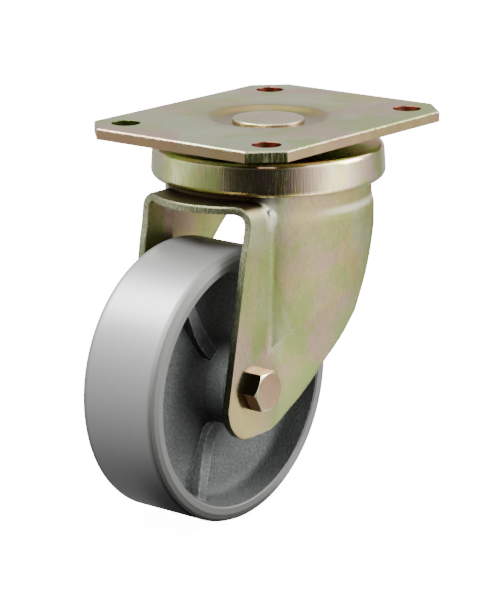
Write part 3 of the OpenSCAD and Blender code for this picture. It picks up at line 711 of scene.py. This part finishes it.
# Pairs of an angle in degrees from the camera's side, and a brightness
LOW_LIGHT = [(-180, 1.0), (-152, 0.50), (-128, 0.55), (-104, 1.1), (-92, 1.25), (-80, 0.70), (-66, 0.40),
             (-50, 0.35), (-43, 0.08), (-30, 0.028), (8, 0.025), (17, 0.045), (29, 0.34), (40, 0.75),
             (52, 1.6), (64, 2.8), (76, 3.1), (88, 1.9), (100, 1.05), (112, 0.73), (126, 0.45),
             (140, 0.42), (152, 0.65), (180, 1.0)]
HIGH_LIGHT = [(-180, 1.0), (-140, 1.2), (-115, 1.6), (-95, 2.0), (-70, 2.0), (-50, 1.4), (-30, 0.8),
              (0, 0.5), (30, 1.0), (50, 2.6), (70, 4.8), (95, 4.8), (120, 4.0), (150, 1.4), (180, 1.0)]
TURN = 2 * math.pi

studio, studio_in, studio_out = group(
    "studio_round", [("Across", FLOAT, 0.0), ("Up", FLOAT, 0.0), ("Height", FLOAT, 0.0)],
    [("Strength", FLOAT)])
heading = place(studio, polar, Across=studio_in["Across"], Up=studio_in["Up"])["Angle"]
camera_side = math.atan2(back.y, back.x) / TURN
way = calc(studio, "FRACT", calc(studio, "MULTIPLY_ADD", heading, 1 / TURN, 1.5 - camera_side))
low, high = (ramp(studio, way, [(0.5 + angle / 360, value / SOFTBOX) for angle, value in light])
             for light in (LOW_LIGHT, HIGH_LIGHT))
walls = blend(studio, eased(studio, studio_in["Height"], *RISE_HEIGHT), low, high)
whole = blend(studio, eased(studio, studio_in["Height"], *CEILING_HEIGHT), walls, CEILING)
studio.links.new(times(studio, whole, SOFTBOX), studio_out["Strength"])
print("studio group:", len(LOW_LIGHT) + len(HIGH_LIGHT), "stops")

# %% [markdown]
# ## Floor and sky
# The picture has a white ground. Seen by the camera, floor and sky are one plain near-white. Seen
# in a reflection, the floor carries the studio's light, fainter close to the castor, which stands
# in its own shade.

# %% The floor's material
FLOOR_SEEN, SKY_SEEN = 14.0, 15.0
SHADE_REACH, SHADE_LEVEL, RIGHT_SIDE = (0.28, 0.62), 0.85, (-0.03, 0.05)
WHITE = (1, 1, 1, 1)

tree, shader, where = finish_for("studio_floor", 0.0, 0.9, (0.9, 0.9, 0.9))
spot = xyz(tree, where)
lit = place(tree, studio, Across=spot["X"], Up=spot["Y"], Height=-0.2)["Strength"]
shaded = between(tree, from_axis(tree, spot)["Radius"], *SHADE_REACH, SHADE_LEVEL, 1.0)
right_side = between(tree, calc(tree, "SUBTRACT", spot["X"], spot["Y"]), *RIGHT_SIDE)
direct = tree.nodes.new("ShaderNodeLightPath").outputs["Is Camera Ray"]
strength = either(tree, direct, times(tree, lit, either(tree, right_side, shaded, 1.0)), FLOOR_SEEN)
glow = add(tree, "ShaderNodeEmission", {"Color": WHITE, "Strength": strength}).outputs[0]
painted = tree.nodes["Principled BSDF"].outputs[0]
both = add(tree, "ShaderNodeAddShader", {0: glow, 1: painted}).outputs[0]
surface = add(tree, "ShaderNodeMixShader", {0: direct, 1: glow, 2: both}).outputs[0]
tree.links.new(surface, tree.nodes["Material Output"].inputs["Surface"])
print("floor material:", len(tree.nodes), "nodes")

# %% The floor
FLOOR_HALF, FLOOR_GAP = 6.0, 0.0003

bm = bmesh.new()
bmesh.ops.create_grid(bm, x_segments=1, y_segments=1, size=FLOOR_HALF)
floor_mesh = bpy.data.meshes.new("studio_floor")
bm.to_mesh(floor_mesh)
bm.free()
floor_mesh.materials.append(FINISHES["studio_floor"])
floor = bpy.data.objects.new("studio_floor", floor_mesh)
bpy.context.scene.collection.objects.link(floor)
floor.location.z = FLOOR_Z - FLOOR_GAP
print("floor at", round(floor.location.z, 4))

# %% Sky
world = bpy.data.worlds.new("studio")
bpy.context.scene.world = world
world.use_nodes = True
tree = world.node_tree
way = xyz(tree, tree.nodes.new("ShaderNodeTexCoord").outputs["Generated"])
lit = place(tree, studio, Across=way["X"], Up=way["Y"], Height=way["Z"])["Strength"]
direct = tree.nodes.new("ShaderNodeLightPath").outputs["Is Camera Ray"]
background = tree.nodes["Background"].inputs
background["Color"].default_value = WHITE
tree.links.new(either(tree, direct, lit, SKY_SEEN), background["Strength"])
print("sky ready")

# %% [markdown]
# ## Lamps
# The sky alone gives metal its reflections but leaves painted and cast surfaces flat. Three large
# soft lamps shape them: one above the tread, one behind it on the left, and one on the right that
# lights the side of the fork.

# %% Lamps
def lamp(name, at, size_m, watts):
    """A square soft lamp that looks at the castor."""
    data = bpy.data.lights.new(name, "AREA")
    data.shape = "SQUARE"
    data.size = size_m
    data.energy = watts
    fixture = bpy.data.objects.new(name, data)
    bpy.context.scene.collection.objects.link(fixture)
    fixture.location = at
    fixture.rotation_euler = (AIM - at).to_track_quat("-Z", "Y").to_euler()
    print(name, "size", size_m, "m,", watts, "W")


lamp("soft_top", AIM + Vector((-1.0, -0.2, 1.4)), 0.6, 60.0)
lamp("soft_left", AIM + Vector((-0.65, 1.1, 1.6)), 0.7, 52.0)
lamp("soft_right", Vector((1.0, -1.25, 0.55)), 0.8, 32.0)
